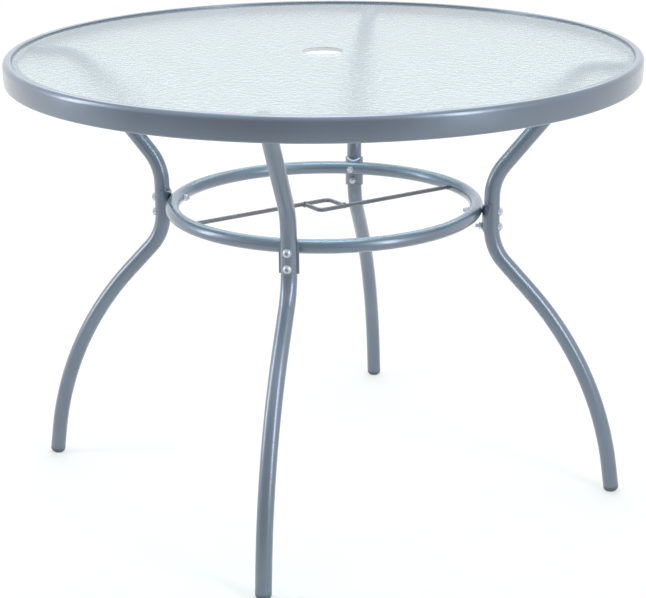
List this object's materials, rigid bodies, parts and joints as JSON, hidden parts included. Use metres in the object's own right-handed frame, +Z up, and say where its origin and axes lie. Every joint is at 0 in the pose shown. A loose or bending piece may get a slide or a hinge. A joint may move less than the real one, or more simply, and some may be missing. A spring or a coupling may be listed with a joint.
{
  "type": "umbrella table",
  "caption": "Round patio table with a rippled glass top, umbrella hole, deep steel rim and bowed tube legs joined by a stretcher ring with a pole guide.",
  "frame": {"origin": "floor plane, under the middle of the umbrella hole", "axes": "+Z up along the axis of the umbrella hole; the legs stand on +X, +Y, -X and -Y"},
  "size_m": [1, 1, 0.72],
  "materials": {
    "glass": "tempered, rippled on one face",
    "powder_coat": "satin powder coat, blue grey",
    "zinc": "bright zinc plate",
    "cap_plastic": "moulded blue grey plastic",
    "seal": "matt grey extruded strip"
  },
  "bodies": {
    "root": {"glass_top": "glass", "rim_frame": "powder_coat", "glass_seal": "seal", "stretcher_ring": "powder_coat", "guide_rod_left": "powder_coat", "guide_rod_right": "powder_coat", "ring_bolts_long": "zinc", "ring_bolts_short": "zinc", "rim_bolts": "zinc", "saddle_washers": "zinc", "hex_nuts": "zinc", "leg_right": "powder_coat", "foot_cap_right": "cap_plastic", "leg_saddle_right": "powder_coat", "rim_stub_right": "powder_coat", "leg_back": "powder_coat", "foot_cap_back": "cap_plastic", "leg_saddle_back": "powder_coat", "rim_stub_back": "powder_coat", "leg_left": "powder_coat", "foot_cap_left": "cap_plastic", "leg_saddle_left": "powder_coat", "rim_stub_left": "powder_coat", "leg_front": "powder_coat", "foot_cap_front": "cap_plastic", "leg_saddle_front": "powder_coat", "rim_stub_front": "powder_coat"}
  },
  "joints": []
}
